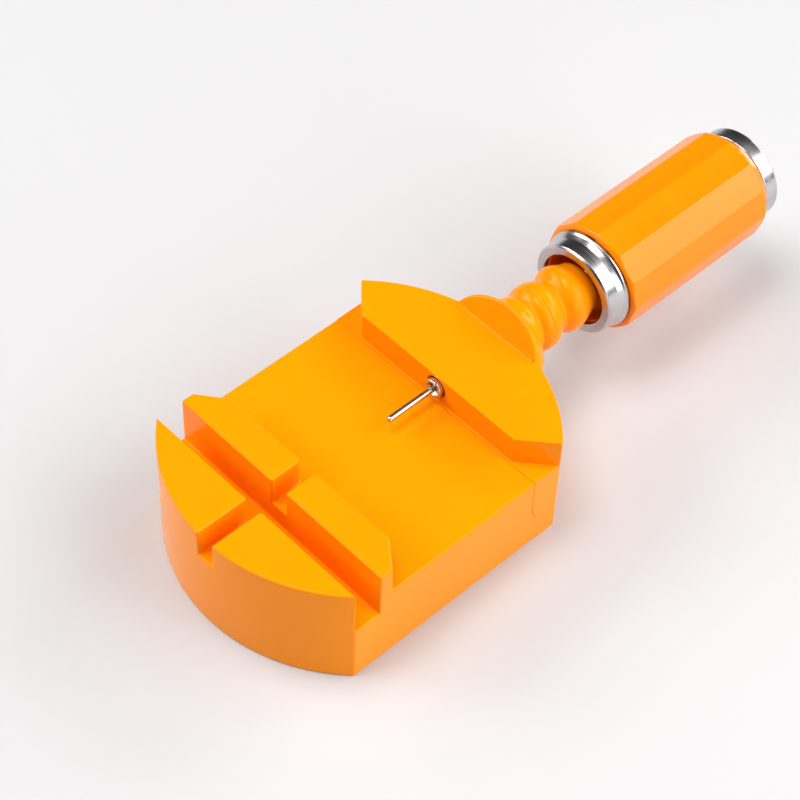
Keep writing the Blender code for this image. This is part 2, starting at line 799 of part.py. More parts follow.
def main():
    clear_scene()
    orange = make_material("orange_plastic", (1.0, 0.42, 0.0), 0.28)
    grip_orange = make_material("grip_plastic", (1.0, 0.38, 0.0), 0.22)
    bright_steel = make_material("bright_steel", (0.72, 0.70, 0.70), 0.18, 1.0)
    pin_steel = make_material("pin_steel", (0.60, 0.56, 0.50), 0.3, 1.0)
    zinc_steel = make_material("zinc_steel", (0.55, 0.56, 0.58), 0.35, 1.0)
    brass = make_material("brass", (0.75, 0.55, 0.22), 0.32, 1.0)

    build_base_body(orange)
    build_spindle_head(orange)
    for place, y in screw_spots():
        build_joint_screw(place, y, zinc_steel)
    build_thread_bush(brass)

    pin = build_push_pin(pin_steel)
    turning = [
        build_spindle(zinc_steel),
        build_pin_holder(bright_steel),
        build_grip(grip_orange),
        build_front_ferrule(bright_steel),
        build_nut("front_nut", FRONT_NUT, zinc_steel),
        build_lock_washer(zinc_steel),
        build_nut("lock_nut", LOCK_NUT, zinc_steel),
    ]
    turning += [build_spare_pin(number, pin_steel) for number in range(1, SPARE_PINS + 1)]
    cap = build_end_cap(bright_steel)

    feed = joint_empty("pin_feed_axis", PIN_HEAD_END)
    turn = joint_empty("handle_turn_axis", WEB_FRONT)
    pull = joint_empty("cap_pull_axis", CAP_BACK)
    hang(feed, pin)
    hang(turn, *turning)
    hang(pull, cap)


main()
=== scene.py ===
"""Looks for the bracelet link remover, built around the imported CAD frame.

Lengths are in millimetres until a mesh is made. Turned pieces are built about the spindle axis,
so their object sits on that axis and texture coordinates run along X from there.
"""

import math

import bmesh
import bpy
from mathutils import Matrix, Vector


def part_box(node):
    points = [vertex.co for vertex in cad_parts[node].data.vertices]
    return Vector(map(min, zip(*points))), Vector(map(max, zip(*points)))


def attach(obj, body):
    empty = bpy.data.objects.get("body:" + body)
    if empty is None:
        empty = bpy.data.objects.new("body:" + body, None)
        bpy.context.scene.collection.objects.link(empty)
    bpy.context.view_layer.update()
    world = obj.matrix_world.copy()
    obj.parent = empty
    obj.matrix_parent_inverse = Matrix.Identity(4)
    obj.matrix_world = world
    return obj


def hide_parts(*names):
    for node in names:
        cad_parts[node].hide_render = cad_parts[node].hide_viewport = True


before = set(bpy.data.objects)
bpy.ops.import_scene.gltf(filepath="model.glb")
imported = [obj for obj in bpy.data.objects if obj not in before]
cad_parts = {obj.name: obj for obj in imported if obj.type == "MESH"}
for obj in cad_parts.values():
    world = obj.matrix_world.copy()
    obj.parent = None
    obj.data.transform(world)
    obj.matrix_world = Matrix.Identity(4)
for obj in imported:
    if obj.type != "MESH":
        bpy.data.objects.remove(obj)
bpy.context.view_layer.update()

MM = 0.001
PIN_LOW, PIN_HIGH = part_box("push_pin")
AXIS_Z = (PIN_LOW.z + PIN_HIGH.z) / 2 / MM

# Base disc and its channel, slots and chamfers.
BASE_RADIUS = 36.0
BASE_HALF = 26.15
BASE_TOP = 24.0
ARC_STEPS = 72
FLAT_END = math.sqrt(BASE_RADIUS**2 - BASE_HALF**2)
CHANNEL = (-12.1, 18.8)
CHANNEL_FLOOR = 17.8
LONG_SLOT_RIGHT = -19.1
LONG_SLOT_FLOOR = 13.5
CROSS_HALF = 1.85
CROSS_MOUTH = 0.9
TOWER_CHAMFER = (4.3, 5.5)
HEAD_CHAMFER = (5.7, 6.3)
SEAM_X = 18.3
SEAM_GAP = 0.12
SEAM_KNEE = 9.7
SEAM_TOE = (19.65, 6.6)
# Below the toe the gap is this share of its width above.
SEAM_TOE_SHARE = 0.1
SEAM_MARGIN = 0.2
LAP_START = 12.0
LAP_END = 28.5
LAP_HALF = 16.0
LAP_TOP = 5.0
POCKET_PITCH = 12.2
POCKET_RIB = 1.9
POCKET_DEPTH = 7.0
POCKET_WALL = 3.0
POCKET_END = 11.0
BASE_EDGE = 0.4
HEAD_EDGE = 0.3
EDGE_STEPS = 4
# How far a cutting tool reaches past what it cuts.
OVER = 2.0

# Screws that hold the head's lap from below. Their heads sit in a stepped hole.
SCREW_SPOTS = {"front": (24.0, -10.0), "rear": (24.0, 10.0)}
SCREW_HOLE = 1.8
SCREW_SEAT = 3.1
SCREW_SEAT_TOP = 2.4
SCREW_SEAT_CHAMFER = 0.4
PILOT = (4.0, 13.3)
SCREW_HEAD = (0.4, 2.1)
SCREW_HEAD_RADIUS = 2.8
SCREW_THREAD = (2.8, 11.0)
SCREW_PITCH = 1.1
SCREW_CREST = 1.5
SCREW_ROOT = 1.15
SCREW_TIP = (11.9, 13.0)
CROSS_RECESS = (1.5, 0.4)
CROSS_RECESS_TOP = 1.5

# Neck stations: along X, half width on the far and near side, half height above and below the
# axis, and how far the ring slants along X at its far side.
NECK = (
    (34.20, 10.80, 10.00, 7.40, 12.90, 0.00),
    (34.26, 11.00, 10.25, 7.60, 13.60, 0.00),
    (34.50, 11.15, 10.45, 7.75, 14.60, 0.00),
    (35.00, 11.15, 10.50, 7.80, 15.00, 0.00),
    (35.60, 10.95, 10.40, 7.72, 14.80, 0.00),
    (36.30, 10.50, 10.05, 7.50, 14.20, 0.00),
    (37.00, 9.85, 9.60, 7.20, 13.20, 0.00),
    (37.60, 9.05, 9.05, 6.88, 12.00, 0.00),
    (38.20, 8.15, 8.40, 6.58, 10.60, 0.05),
    (38.70, 7.40, 7.80, 6.40, 9.30, 0.15),
    (39.15, 6.80, 7.20, 6.30, 8.10, 0.40),
    (39.55, 6.50, 6.75, 6.28, 7.20, 0.70),
    (39.95, 6.25, 6.40, 6.10, 6.50, 1.00),
    (40.35, 5.85, 5.90, 5.78, 5.95, 1.20),
    (40.70, 5.60, 5.60, 5.52, 5.60, 1.30),
    (41.05, 5.58, 5.58, 5.52, 5.58, 1.30),
    (41.50, 5.92, 5.92, 5.88, 5.92, 1.30),
    (42.00, 6.26, 6.26, 6.24, 6.26, 1.30),
    (42.60, 6.45, 6.45, 6.45, 6.45, 1.30),
    (43.05, 6.50, 6.50, 6.50, 6.50, 1.30),
    (43.18, 6.40, 6.40, 6.40, 6.40, 1.30),
    (43.31, 6.50, 6.50, 6.50, 6.50, 1.30),
    (43.70, 6.52, 6.52, 6.52, 6.52, 1.35),
    (44.40, 6.48, 6.48, 6.48, 6.48, 1.40),
    (45.10, 6.30, 6.30, 6.30, 6.30, 1.50),
    (45.80, 5.92, 5.92, 5.92, 5.92, 1.60),
    (46.40, 5.45, 5.45, 5.45, 5.45, 1.60),
    (46.90, 5.12, 5.12, 5.12, 5.12, 1.60),
    (47.35, 5.05, 5.05, 5.05, 5.05, 1.60),
    (47.85, 5.30, 5.30, 5.30, 5.30, 1.55),
    (48.45, 5.80, 5.80, 5.80, 5.80, 1.45),
    (49.10, 6.22, 6.22, 6.22, 6.22, 1.30),
    (49.90, 6.46, 6.46, 6.46, 6.46, 1.10),
    (50.60, 6.56, 6.56, 6.56, 6.56, 0.90),
    (51.50, 6.48, 6.48, 6.48, 6.48, 0.70),
    (52.40, 6.22, 6.22, 6.22, 6.22, 0.50),
    (53.30, 5.86, 5.86, 5.86, 5.86, 0.30),
    (54.30, 5.50, 5.50, 5.50, 5.50, 0.10),
    (55.20, 5.28, 5.28, 5.28, 5.28, 0.00),
    (55.70, 5.16, 5.16, 5.16, 5.16, 0.00),
    (56.00, 4.90, 4.90, 4.90, 4.90, 0.00),
)
# The rings slant towards this angle about the axis, counted from the far side upwards.
SLANT_ANGLE = math.radians(30)
# The front of the neck's root leans back above the block's top, less and less along X.
NECK_LEAN = 0.6
NECK_LEAN_REACH = 4.0
NECK_END = 56.0
NECK_FILLET = 0.7
# How far the fillet's piece is sunk into the neck and the block.
NECK_FILLET_SINK = 0.3

# Screw spindle and what it runs in.
PITCH = 0.7
CREST = 2.0
ROOT = 1.57
CORE = 1.4
ROD = 1.95
THREAD = (35.5, 70.5)
THREAD_STEPS = 32
TRIM_CLEARANCE = 0.3
# Each point is a share of the pitch and a radius.
THREAD_SECTION = ((0.0, ROOT), (0.42, CREST - 0.03), (0.5, CREST), (0.58, CREST - 0.03))
SPIGOT = (20.6, 23.8)
SPIGOT_RADIUS = 1.3
SPINDLE_END = 84.0
SPINDLE_BORE = 2.25
SPINDLE_BORE_CHAMFER = 0.2
BUSH_START = 47.7
BUSH_SEAT = 3.5
BUSH_SEAT_CHAMFER = 0.3

# Push pin, its spares and the sleeve that holds it.
PIN_END = 20.3
PIN_LENGTH = 13.3
PIN_RADIUS = 0.62
PIN_TIP_RADIUS = 0.47
PIN_TIP_LENGTH = 0.4
PIN_HEAD_LENGTH = 0.8
PIN_HEAD_RADIUS = 1.35
PIN_EDGE = 0.1
HOLDER = (17.9, 23.5)
HOLDER_RADIUS = 2.05
HOLDER_BORE = 1.65
HOLDER_MOUTH = 1.45
HOLDER_HOLE = 0.9
HOLDER_WEB = (18.9, 19.2)

# Grip: a twelve-sided sleeve with a web inside, which the spindle is clamped to.
GRIP_SIDES = 12
GRIP_CORNER = 11.5
GRIP_ROUND = 0.7
# How softly the twelve-sided section goes over into the turned limit.
GRIP_SOFT = 0.05
# The turned limit clears the corners along the flats and cuts them off at both ends.
GRIP_LIMIT = GRIP_CORNER + 0.15
GRIP_START = 55.7
GRIP_FRONT = 59.3
GRIP_BACK = 98.4
GRIP_FRONT_RIM = 10.2
GRIP_SHOULDER = 1.4
GRIP_SHOULDER_STEPS = 24
GRIP_FLAT_START = GRIP_FRONT + 1.6
GRIP_FLAT_STEPS = 8
GRIP_TAPER = 2.3
GRIP_TAPER_RIM = 9.85
GRIP_TAPER_STEPS = 22
GRIP_BACK_RIM = 9.8
GRIP_BORE = 7.5
FERRULE_SEAT = 8.4
STORE_BORE = 7.4
STORE_MIDDLE = 92.0
BORE_MIDDLE = 66.0
WEB = (74.5, 78.5)
WEB_HOLE = 2.3

# Steel ring at the grip's mouth: a barrel that flares into a lip.
FERRULE = (54.4, 59.0)
FERRULE_BORE = 7.55
FERRULE_STEP = 55.4
FERRULE_STEP_BORE = 8.6
FERRULE_FACE = 9.12
FERRULE_BARREL = (54.72, 57.2)
FERRULE_BARREL_RADII = (9.5, 9.58)
FERRULE_FLARE = (58.25, 9.95)
FERRULE_LIP = (58.62, 10.28)

# Steel cap, a cup whose spigot closes the grip's store.
CAP_SPIGOT_START = 93.7
CAP_RIM = (98.7, 101.75)
CAP_END = 102.4
CAP_RADIUS = 9.62
CAP_FACE = 8.95
CAP_FACE_MIDDLE = 3.0
CAP_SPIGOT = 7.1
CAP_BORE = 5.6
CAP_FLOOR = 101.2

# Steps around a turned piece, fewer where the piece is smaller.
TURN_STEPS = 128
SMALL_TURN_STEPS = 64
THIN_TURN_STEPS = 48
SPARE_TURN_STEPS = 32
FILLET_STEP = math.radians(15)
# A fillet takes no more than this share of the edges beside it.
FILLET_SHARE = 0.48
SHARP = math.radians(30)
HEAD_SHARP = math.radians(38)
GRIP_SHARP = math.radians(40)
# Corners nearer than this, in metres, are welded, and faces flatter than this angle are merged.
WELD = 0.000002
COPLANAR = math.radians(0.2)


# ---------------------------------------------------------------- mesh helpers


def add_object(name, mesh_data, on_axis=False):
    """Scale the mesh to metres and link it. A turned piece's origin goes on the spindle axis."""
    bmesh.ops.recalc_face_normals(mesh_data, faces=mesh_data.faces)
    bmesh.ops.scale(mesh_data, vec=(MM, MM, MM), verts=mesh_data.verts)
    mesh = bpy.data.meshes.new(name)
    mesh_data.to_mesh(mesh)
    mesh_data.free()
    made = bpy.data.objects.new(name, mesh)
    if on_axis:
        made.location.z = AXIS_Z * MM
    bpy.context.scene.collection.objects.link(made)
    return made


def skin(mesh_data, loops, ring=False, caps=True):
    """Quads between equal loops of points. ring joins the last loop to the first."""
    rows = [[mesh_data.verts.new(point) for point in loop] for loop in loops]
    pairs = list(zip(rows, rows[1:]))
    if ring:
        pairs.append((rows[-1], rows[0]))
    for first, second in pairs:
        for i in range(len(first)):
            j = (i + 1) % len(first)
            mesh_data.faces.new((first[i], first[j], second[j], second[i]))
    if caps and not ring:
        mesh_data.faces.new(rows[0])
        mesh_data.faces.new(rows[-1])
    return rows


def prism(name, outline, low, high, axis="Z"):
    """A plane outline run from low to high along Z, Y or X."""
    place = {
        "Z": lambda a, b, c: (a, b, c),
        "Y": lambda a, b, c: (a, c, b),
        "X": lambda a, b, c: (c, a, b),
    }[axis]
    mesh_data = bmesh.new()
    skin(mesh_data, [[place(a, b, level) for a, b in outline] for level in (low, high)])
    return add_object(name, mesh_data)


def block(name, low, high):
    outline = ((low[0], low[1]), (high[0], low[1]), (high[0], high[1]), (low[0], high[1]))
    return prism(name, outline, low[2], high[2])


def rounded(profile, closed):
    """Turn (x, r, fillet) corners into a run of (x, r) points with arcs at the corners."""
    points = []
    count = len(profile)
    for i, (x, r, *more) in enumerate(profile):
        fillet = more[0] if more else 0.0
        if not fillet or (not closed and i in (0, count - 1)):
            points.append((x, r))
            continue
        here = Vector((x, r))
        back = Vector(profile[i - 1][:2]) - here
        ahead = Vector(profile[(i + 1) % count][:2]) - here
        angle = back.angle(ahead)
        longest = FILLET_SHARE * min(back.length, ahead.length)
        reach = min(fillet / math.tan(angle / 2), longest)
        radius = reach * math.tan(angle / 2)
        back.normalize()
        ahead.normalize()
        centre = here + (back + ahead).normalized() * radius / math.sin(angle / 2)
        start = here + back * reach - centre
        end = here + ahead * reach - centre
        steps = max(2, math.ceil((math.pi - angle) / FILLET_STEP))
        for k in range(steps + 1):
            way = start.normalized().slerp(end.normalized(), k / steps)
            points.append(tuple(centre + radius * way))
    return points


def turned(name, profile, steps=TURN_STEPS, closed=True, shape=None):
    """Turn a profile of (x, r, fillet) about the spindle axis. An open profile starts and ends on it."""
    mesh_data = bmesh.new()
    points = rounded(profile, closed)
    turns = shape.turns if shape else [2 * math.pi * i / steps for i in range(steps)]
    loops = []
    for x, r in points:
        radii = [shape.radius(r, turn) if shape else r for turn in turns]
        loops.append([(x, q * math.cos(t), q * math.sin(t)) for q, t in zip(radii, turns)])
    if closed:
        skin(mesh_data, loops, ring=True)
    else:
        rows = skin(mesh_data, loops[1:-1], caps=False)
        for row, (x, _) in ((rows[0], points[0]), (rows[-1], points[-1])):
            pole = mesh_data.verts.new((x, 0, 0))
            for i in range(len(row)):
                mesh_data.faces.new((row[i], row[(i + 1) % len(row)], pole))
    return add_object(name, mesh_data, on_axis=True)


def upright(name, spot, profile, steps=SMALL_TURN_STEPS):
    """Turn an open profile of (z, r, fillet) about an upright axis through spot."""
    mesh_data = bmesh.new()
    points = rounded(profile, False)
    turns = [2 * math.pi * i / steps for i in range(steps)]
    loops = [
        [(spot[0] + r * math.cos(t), spot[1] + r * math.sin(t), z) for t in turns]
        for z, r in points[1:-1]
    ]
    rows = skin(mesh_data, loops, caps=False)
    for row, (z, _) in ((rows[0], points[0]), (rows[-1], points[-1])):
        pole = mesh_data.verts.new((spot[0], spot[1], z))
        for i in range(len(row)):
            mesh_data.faces.new((row[i], row[(i + 1) % len(row)], pole))
    return add_object(name, mesh_data)


def apply_modifiers(piece):
    graph = bpy.context.evaluated_depsgraph_get()
    mesh = bpy.data.meshes.new_from_object(piece.evaluated_get(graph))
    piece.modifiers.clear()
    old = piece.data
    piece.data = mesh
    bpy.data.meshes.remove(old)


def combine(piece, operation, *tools):
    """Boolean the tools into the piece, then remove them."""
    for tool in tools:
        modifier = piece.modifiers.new("boolean", "BOOLEAN")
        modifier.operation = operation
        modifier.object = tool
        modifier.solver = "EXACT"
    bpy.context.view_layer.update()
    apply_modifiers(piece)
    for tool in tools:
        mesh = tool.data
        bpy.data.objects.remove(tool)
        bpy.data.meshes.remove(mesh)
    return piece


def in_seam(edge, top):
    """Whether the edge runs along the seam, no higher than top."""
    xs = [corner.co.x / MM for corner in edge.verts]
    high = max(corner.co.z for corner in edge.verts) / MM
    across = min(xs) > SEAM_X - SEAM_MARGIN and max(xs) < SEAM_TOE[0] + SEAM_MARGIN
    return across and high < top + SEAM_MARGIN / 2


def soften_edges(piece, width, sharp_seam_top, clamp):
    """Merge coplanar faces, then round the sharp edges, but not the seam's lower edges.

    With clamp, a rounding stops where it would run into the next one.
    """
    mesh_data = bmesh.new()
    mesh_data.from_mesh(piece.data)
    bmesh.ops.remove_doubles(mesh_data, verts=mesh_data.verts, dist=WELD)
    bmesh.ops.dissolve_limit(
        mesh_data, angle_limit=COPLANAR, verts=mesh_data.verts, edges=mesh_data.edges
    )
    sharp = [
        edge
        for edge in mesh_data.edges
        if len(edge.link_faces) == 2
        and edge.calc_face_angle(0.0) > SHARP
        and not in_seam(edge, sharp_seam_top)
    ]
    bmesh.ops.bevel(
        mesh_data,
        geom=sharp,
        offset=width * MM,
        offset_type="OFFSET",
        segments=EDGE_STEPS,
        profile=0.5,
        affect="EDGES",
        clamp_overlap=clamp,
        loop_slide=True,
    )
    mesh_data.to_mesh(piece.data)
    mesh_data.free()
    return piece


def shade(piece, weighted=True, angle=SHARP):
    piece.data.shade_smooth()
    piece.data.set_sharp_from_angle(angle=angle)
    if weighted:
        modifier = piece.modifiers.new("weighted_normals", "WEIGHTED_NORMAL")
        modifier.keep_sharp = True
    return piece


# ---------------------------------------------------------------- base and head


def disc_outline():
    """Two arcs of one circle, joined by the straight sides of the base."""
    corner = math.atan2(BASE_HALF, FLAT_END)
    right = [-corner + 2 * corner * i / ARC_STEPS for i in range(ARC_STEPS + 1)]
    turns = right + [turn + math.pi for turn in right]
    return [(BASE_RADIUS * math.cos(t), BASE_RADIUS * math.sin(t)) for t in turns]


def seam_side(name, shift, outer):
    """All that lies on one side of the seam, which steps out at its toe."""
    top = BASE_TOP + OVER
    toe = SEAM_TOE[0] + shift * SEAM_TOE_SHARE
    outline = (
        (outer, -OVER),
        (toe, -OVER),
        (toe, SEAM_TOE[1]),
        (SEAM_X + shift, SEAM_KNEE),
        (SEAM_X + shift, top),
        (outer, top),
    )
    return prism(name, outline, -BASE_HALF - OVER, BASE_HALF + OVER, "Y")


def channel_tool():
    reach = BASE_HALF + OVER
    low = (CHANNEL[0], -reach, CHANNEL_FLOOR)
    return block("channel_tool", low, (CHANNEL[1], reach, BASE_TOP + OVER))


def cross_slot_tool():
    """The cross slot in plan, its corners at the channel rounded off."""
    start = CHANNEL[0] - CROSS_MOUTH
    reach = CROSS_HALF + CROSS_MOUTH
    curve = [math.radians(90 * i / 6) for i in range(7)]
    rear = [
        (start + CROSS_MOUTH * math.sin(t), reach - CROSS_MOUTH * math.cos(t)) for t in curve
    ]
    rear.append((CHANNEL[0] + OVER, reach))
    front = [(x, -y) for x, y in reversed(rear)]
    left = -BASE_RADIUS - OVER
    outline = [(left, CROSS_HALF), *rear, *front, (left, -CROSS_HALF)]
    return prism("cross_tool", outline, CHANNEL_FLOOR, BASE_TOP + OVER)


def chamfer_tool(name, wall, size, side):
    """Cuts an end corner on the channel side. size[0] is negative where the block lies at lower X."""
    along, across = size
    slope = across / abs(along)
    way = math.copysign(1.0, along)
    outline = (
        (wall - way * OVER, side * (BASE_HALF - across - OVER * slope)),
        (wall + along + way * OVER, side * (BASE_HALF + OVER * slope)),
        (wall - way * OVER, side * (BASE_HALF + OVER * slope)),
    )
    return prism(name, outline, CHANNEL_FLOOR, BASE_TOP + OVER)


def pocket_tools():
    """A grid of pockets under the base with ribs between them, kept inside an outer wall."""
    inset_radius = BASE_RADIUS - POCKET_WALL
    inset_half = BASE_HALF - POCKET_WALL
    reach = (POCKET_PITCH - POCKET_RIB) / 2
    tools = []
    for column in (-2, -1, 0):
        for row in (-2, -1, 0, 1):
            x = (column + 0.5) * POCKET_PITCH
            y = (row + 0.5) * POCKET_PITCH
            outer_y = min(abs(y) + reach, inset_half)
            outer_x = -math.sqrt(inset_radius**2 - outer_y**2)
            low_x = max(x - reach, outer_x)
            high_x = min(x + reach, POCKET_END)
            side = math.copysign(1.0, y)
            low_y, high_y = sorted((side * (abs(y) - reach), side * outer_y))
            tools.append(block("pocket", (low_x, low_y, -OVER), (high_x, high_y, POCKET_DEPTH)))
    return tools


def screw_hole_profile():
    """A through hole in the lap, with a chamfered seat for the screw's head below."""
    mouth = SCREW_SEAT + SCREW_SEAT_CHAMFER
    top = LAP_TOP + OVER
    return (
        (-OVER, 0),
        (-OVER, mouth),
        (0.0, mouth),
        (SCREW_SEAT_CHAMFER, SCREW_SEAT),
        (SCREW_SEAT_TOP, SCREW_SEAT),
        (SCREW_SEAT_TOP, SCREW_HOLE),
        (top, SCREW_HOLE),
        (top, 0),
    )


def build_base():
    base = prism("base_moulding", disc_outline(), 0.0, BASE_TOP)
    combine(base, "INTERSECT", seam_side("side", -SEAM_GAP / 2, -BASE_RADIUS - OVER))
    lap = block("lap", (LAP_START, -LAP_HALF, 0.0), (LAP_END, LAP_HALF, LAP_TOP))
    combine(base, "UNION", lap)
    reach = BASE_HALF + OVER
    slot = block(
        "slot", (-FLAT_END, -reach, LONG_SLOT_FLOOR), (LONG_SLOT_RIGHT, reach, BASE_TOP + OVER)
    )
    combine(base, "DIFFERENCE", channel_tool(), slot, cross_slot_tool())
    towers = (-TOWER_CHAMFER[0], TOWER_CHAMFER[1])
    chamfers = [chamfer_tool("chamfer", CHANNEL[0], towers, side) for side in (-1, 1)]
    combine(base, "DIFFERENCE", *chamfers)
    combine(base, "DIFFERENCE", *pocket_tools())
    soften_edges(base, BASE_EDGE, CHANNEL_FLOOR, clamp=False)
    for spot in SCREW_SPOTS.values():
        combine(base, "DIFFERENCE", upright("hole", spot, screw_hole_profile()))
    return shade(base)


def smooth_path(keys, pieces):
    """A Catmull-Rom run through the keys, with this many pieces between each two."""
    points = []
    for i in range(len(keys) - 1):
        before, after = keys[max(i - 1, 0)], keys[min(i + 2, len(keys) - 1)]
        for k in range(pieces):
            t = k / pieces
            weights = (
                0.5 * (-t + 2 * t**2 - t**3),
                0.5 * (2 - 5 * t**2 + 3 * t**3),
                0.5 * (t + 4 * t**2 - 3 * t**3),
                0.5 * (t**3 - t**2),
            )
            rows = zip(before, keys[i], keys[i + 1], after)
            points.append([sum(w * value for w, value in zip(weights, row)) for row in rows])
    points.append(keys[-1])
    return points


def neck_form():
    """The beaded neck: rings of four quarter ellipses, slanted along X."""
    mesh_data = bmesh.new()
    turns = [2 * math.pi * i / TURN_STEPS for i in range(TURN_STEPS)]
    loops = []
    for x, far, near, tall, deep, slant in smooth_path(NECK, 3):
        fade = max(0.0, 1 - (x - NECK[0][0]) / NECK_LEAN_REACH)
        loop = []
        for t in turns:
            y = (far if math.cos(t) > 0 else near) * math.cos(t)
            z = AXIS_Z + (tall if math.sin(t) > 0 else deep) * math.sin(t)
            share = 0.5 + 0.5 * math.cos(t - SLANT_ANGLE)
            lean = NECK_LEAN * fade * max(z - BASE_TOP, 0.0)
            loop.append((x + slant * share + lean, y, z))
        loops.append(loop)
    rows = skin(mesh_data, loops, caps=False)
    mesh_data.faces.new(rows[-1])
    # The front is closed in level strips, so that it bends only at the top of the block.
    front = rows[0]
    quarter = TURN_STEPS // 4
    for i in range(-quarter, quarter):
        across = 2 * quarter - i
        corners = (front[i], front[i + 1], front[across - 1], front[across % TURN_STEPS])
        mesh_data.faces.new(dict.fromkeys(corners))
    return add_object("neck", mesh_data)


def neck_root_fillet():
    """A small hollow fillet between the neck's front face and the top of the block."""
    size = NECK_FILLET
    x = NECK[0][0]
    rise = BASE_TOP - AXIS_Z
    far, near = (wide * math.sqrt(1 - (rise / NECK[0][3]) ** 2) for wide in NECK[0][1:3])
    curve = [math.radians(90 * i / 5) for i in range(6)]
    outline = [(x - size + size * math.sin(t), BASE_TOP + size - size * math.cos(t)) for t in curve]
    deep_x = x + NECK_FILLET_SINK
    deep_z = BASE_TOP - NECK_FILLET_SINK
    outline += [(deep_x, BASE_TOP + size), (deep_x, deep_z), (x - size, deep_z)]
    return prism("fillet", outline, -near, far, "Y")


def spindle_bore():
    """The bore from the channel's wall to the neck's end, stepped out for the bush."""
    wall = CHANNEL[1]
    mouth = SPINDLE_BORE + SPINDLE_BORE_CHAMFER
    seat_start = BUSH_START - BUSH_SEAT_CHAMFER
    seat_mouth = BUSH_SEAT + BUSH_SEAT_CHAMFER
    profile = (
        (wall - OVER, 0),
        (wall - OVER, mouth),
        (wall, mouth),
        (wall + SPINDLE_BORE_CHAMFER, SPINDLE_BORE),
        (seat_start, SPINDLE_BORE),
        (seat_start, BUSH_SEAT),
        (NECK_END - BUSH_SEAT_CHAMFER, BUSH_SEAT),
        (NECK_END, seat_mouth),
        (NECK_END + OVER, seat_mouth),
        (NECK_END + OVER, 0),
    )
    return turned("bore", profile, SMALL_TURN_STEPS, closed=False)


def build_head():
    head = prism("head_moulding", disc_outline(), 0.0, BASE_TOP)
    combine(head, "INTERSECT", seam_side("side", SEAM_GAP / 2, BASE_RADIUS + OVER))
    recess = block(
        "recess",
        (SEAM_X - OVER, -LAP_HALF - SEAM_GAP, -OVER),
        (LAP_END + SEAM_GAP, LAP_HALF + SEAM_GAP, LAP_TOP + SEAM_GAP),
    )
    combine(head, "DIFFERENCE", channel_tool(), recess)
    chamfers = [chamfer_tool("chamfer", CHANNEL[1], HEAD_CHAMFER, side) for side in (-1, 1)]
    combine(head, "DIFFERENCE", *chamfers)
    soften_edges(head, HEAD_EDGE, SEAM_TOE[1], clamp=True)
    combine(head, "UNION", neck_form(), neck_root_fillet())
    combine(head, "DIFFERENCE", spindle_bore())
    low, high = PILOT
    pilot_profile = ((low, 0), (low, SCREW_HOLE), (high, SCREW_HOLE), (high, 0))
    for spot in SCREW_SPOTS.values():
        combine(head, "DIFFERENCE", upright("pilot", spot, pilot_profile))
    return shade(head, angle=HEAD_SHARP)


def build_joint_screw(place):
    """A pan-head screw, head down, with a crossed recess and a coarse thread."""
    spot = SCREW_SPOTS[place]
    low, high = SCREW_HEAD
    stations = [
        (low, 0),
        (low, 1.7, 0.5),
        (low + 0.15, 2.3, 0.5),
        (low + 0.7, 2.75, 0.5),
        (high, SCREW_HEAD_RADIUS, 0.1),
        (high, 1.2),
    ]
    z, thread_end = SCREW_THREAD
    while z < thread_end:
        stations += [(z, SCREW_ROOT), (z + 0.3, SCREW_CREST), (z + 0.4, SCREW_CREST), (z + 0.7, SCREW_ROOT)]
        z += SCREW_PITCH
    taper, tip = SCREW_TIP
    stations += [(taper, 1.1), (tip, 0.3), (tip, 0)]
    screw = upright(f"joint_screw_{place}_fine", spot, stations)
    for half_x, half_y in (CROSS_RECESS, reversed(CROSS_RECESS)):
        arm = block(
            "arm",
            (spot[0] - half_x, spot[1] - half_y, -OVER),
            (spot[0] + half_x, spot[1] + half_y, CROSS_RECESS_TOP),
        )
        combine(screw, "DIFFERENCE", arm)
    return shade(screw)


# ---------------------------------------------------------------- turned pieces


class GripSection:
    """A twelve-sided section with rounded corners, which a turned profile is cut down to."""

    def __init__(self):
        self.half = math.pi / GRIP_SIDES
        self.flat = GRIP_CORNER * math.cos(self.half)
        self.far = (self.flat - GRIP_ROUND) / math.cos(self.half)
        across = GRIP_ROUND * math.sin(self.half)
        self.bend = math.atan2(across, self.far + GRIP_ROUND * math.cos(self.half))
        inner = [self.half - self.bend * share for share in (0.0, 0.5, 1.0, 1.8)]
        spread = [self.half * share for share in (0.75, 0.55, 0.35, 0.15)]
        side = [-turn for turn in inner + spread] + [0.0]
        # Known fault: past the middle of each flat these turns double back, so faces overlap there.
        # In order they would be list(reversed(inner[1:] + spread)).
        offsets = side + list(reversed(spread + inner[1:]))
        self.turns = [
            math.pi / 2 + self.half + 2 * self.half * i + offset
            for i in range(GRIP_SIDES)
            for offset in offsets
        ]

    def radius(self, limit, turn):
        if limit < self.flat - 1.0:
            return limit
        offset = (turn - math.pi / 2) % (2 * self.half) - self.half
        from_corner = self.half - abs(offset)
        if from_corner < self.bend:
            drop = self.far * math.sin(from_corner)
            section = self.far * math.cos(from_corner) + math.sqrt(GRIP_ROUND**2 - drop**2)
        else:
            section = self.flat / math.cos(offset)
        gap = limit - section
        return 0.5 * (limit + section - math.sqrt(gap**2 + GRIP_SOFT**2))


